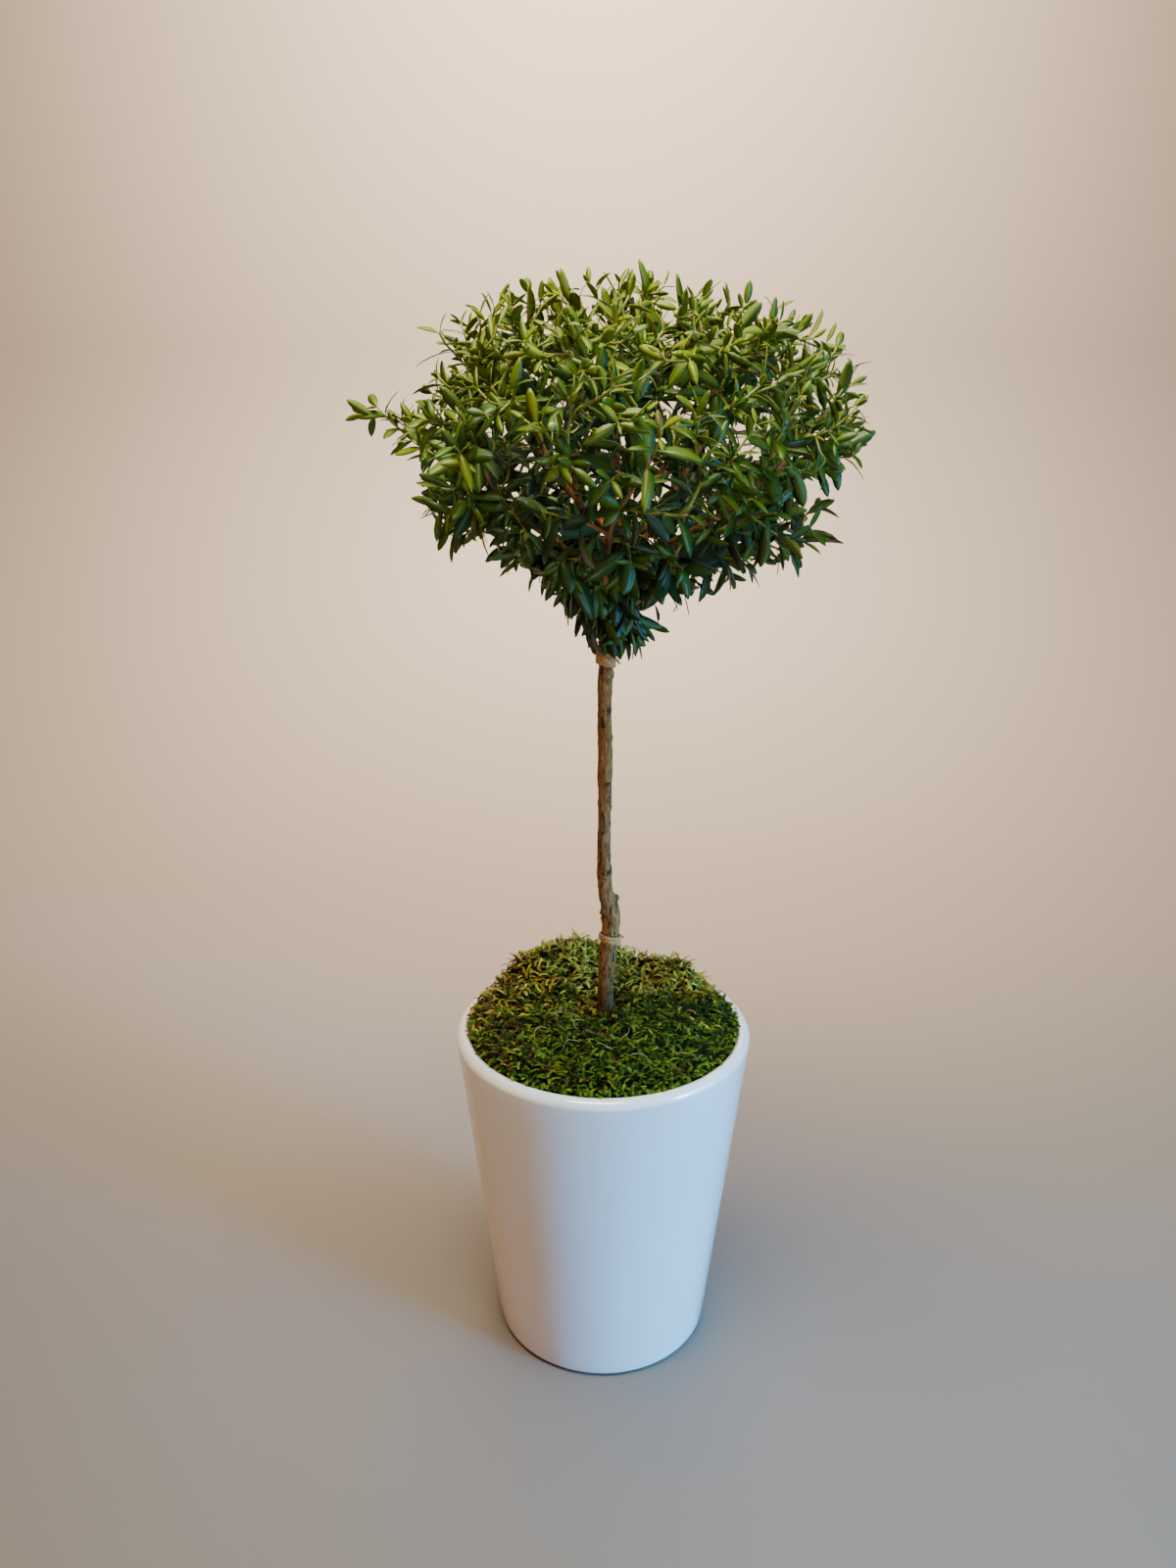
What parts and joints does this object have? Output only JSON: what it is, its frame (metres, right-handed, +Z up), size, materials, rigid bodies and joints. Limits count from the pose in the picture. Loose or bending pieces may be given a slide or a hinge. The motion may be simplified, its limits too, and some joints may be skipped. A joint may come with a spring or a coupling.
{
  "type": "potted myrtle topiary",
  "caption": "Small-leaved evergreen trained as a standard: a rounded, airy head on a bare stem, in a tapering glazed white pot topped with a cushion of moss.",
  "frame": {"origin": "centre of the pot's flat underside, where it stands", "axes": "+Z up, along the pot's axis and the stem; +X to the right and +Y to the back, as the picture shows it"},
  "size_m": [0.2115, 0.2083, 0.4944],
  "materials": {
    "glazed_white": "gloss",
    "potting_soil": "matte",
    "cushion_moss": "matte",
    "bark": "matte",
    "raffia": "matte",
    "foliage": "satin"
  },
  "bodies": {
    "root": {"pot": "glazed_white", "soil": "potting_soil", "moss": "cushion_moss", "trunk": "bark", "tie_lower": "raffia", "tie_upper": "raffia", "bough_1": "bark", "bough_2": "bark", "bough_3": "bark", "bough_4": "bark", "bough_5": "bark", "bough_6": "bark", "bough_7": "bark", "bough_8": "bark", "bough_9": "bark", "bough_10": "bark", "bough_11": "bark", "bough_12": "bark", "bough_13": "bark", "bough_14": "bark", "bough_15": "bark", "foliage_crest": "foliage", "foliage_upper_1": "foliage", "foliage_upper_2": "foliage", "foliage_upper_3": "foliage", "foliage_upper_4": "foliage", "foliage_upper_5": "foliage", "foliage_outer_1": "foliage", "foliage_outer_2": "foliage", "foliage_outer_3": "foliage", "foliage_outer_4": "foliage", "foliage_outer_5": "foliage", "foliage_outer_6": "foliage", "foliage_outer_7": "foliage", "foliage_under_1": "foliage", "foliage_under_2": "foliage", "foliage_under_3": "foliage"}
  },
  "joints": []
}
